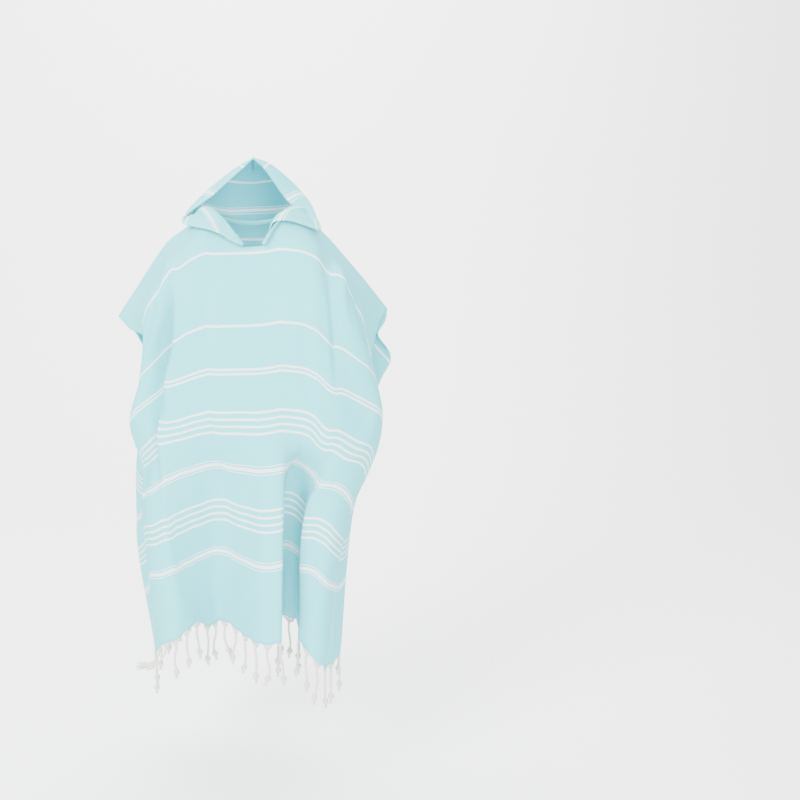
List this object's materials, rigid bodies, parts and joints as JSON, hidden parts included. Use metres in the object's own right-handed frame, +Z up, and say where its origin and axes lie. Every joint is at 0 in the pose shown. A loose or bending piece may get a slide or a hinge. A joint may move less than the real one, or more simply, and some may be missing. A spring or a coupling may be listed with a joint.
{
  "type": "hooded bath poncho",
  "caption": "Child's hooded poncho of flat-woven cotton, worn open over the shoulders with cross stripes and a knotted fringe on both hems.",
  "frame": {"origin": "middle of the neck on the line where the cloth crosses the shoulders, at the height of the collar's sides", "axes": "+Z up, -Y to the front of the garment, +X to the right in the front view; the hems hang towards -Z"},
  "size_m": [0.4766, 0.3123, 0.9667],
  "materials": {
    "cotton": "matt flat weave, pale aqua with off-white cross stripes",
    "fringe": "matt twisted cotton, off-white"
  },
  "bodies": {
    "root": {"front": "cotton", "back": "cotton", "hood": "cotton", "front_fringe": "fringe", "back_fringe": "fringe"}
  },
  "joints": []
}
